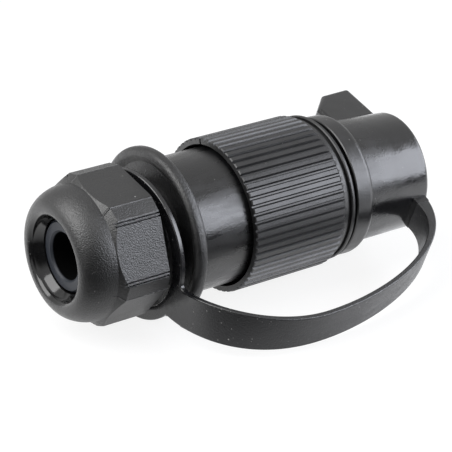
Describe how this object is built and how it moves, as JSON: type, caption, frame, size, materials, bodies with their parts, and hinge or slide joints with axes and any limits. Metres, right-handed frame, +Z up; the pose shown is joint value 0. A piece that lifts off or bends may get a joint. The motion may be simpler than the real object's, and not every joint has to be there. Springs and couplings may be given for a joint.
{
  "type": "three-pin plug",
  "caption": "In-line waterproof three-pin cable plug with a domed gland nut, a ribbed coupling ring that turns and a tethered dust cap.",
  "frame": {"origin": "centre of the cable hole, on the front face of the gland seal", "axes": "+X along the plug's axis towards the pins and the dust cap, -X where the cable leaves, -Y the side of the strap, +Z up as it lies"},
  "size_m": [0.0868, 0.0548, 0.0346],
  "materials": {
    "satin_black": "satin",
    "gloss_black": "gloss",
    "black_rubber": "semi-matt",
    "grey_rubber": "matt",
    "red_rubber": "semi-matt",
    "natural_plastic": "satin",
    "pin_brass": "polished",
    "spring_steel": "brushed"
  },
  "bodies": {
    "root": {"gland_seal": "grey_rubber", "clamp_cage": "satin_black", "cage_washer": "satin_black", "body_shell": "gloss_black", "tether_ring": "black_rubber", "strap": "black_rubber", "slip_washer": "natural_plastic", "ring_clip": "spring_steel", "nose_shell": "gloss_black", "nose_seal": "red_rubber", "face_seal": "black_rubber", "pin_carrier": "natural_plastic", "carrier_seal": "black_rubber", "line_pin": "pin_brass", "neutral_pin": "pin_brass", "earth_pin": "pin_brass", "terminal_screws": "spring_steel"},
    "cap": {"dust_cap": "black_rubber"},
    "ring": {"coupling_ring": "satin_black"},
    "nut_seal": {"neck_seal": "black_rubber"},
    "nut": {"gland_nut": "satin_black"}
  },
  "joints": [
    {"name": "cap_pull", "type": "slide", "parent": "root", "child": "cap", "axis": [1, 0, 0], "range_m": [0, 0.015], "deforming": ["strap"]},
    {"name": "ring_turn", "type": "hinge", "parent": "root", "child": "ring", "pos_m": [0, 0, 0], "axis": [1, 0, 0], "continuous": true},
    {"name": "nut_travel", "type": "slide", "parent": "root", "child": "nut_seal", "axis": [1, 0, 0], "range_m": [-0.006, 0]},
    {"name": "nut_turn", "type": "hinge", "parent": "nut_seal", "child": "nut", "pos_m": [0, 0, 0], "axis": [1, 0, 0], "range_deg": [-1440, 0]}
  ],
  "couplings": [
    {"joint": "nut_travel", "follows": "nut_turn", "m_per_rad": 0.00023873}
  ]
}
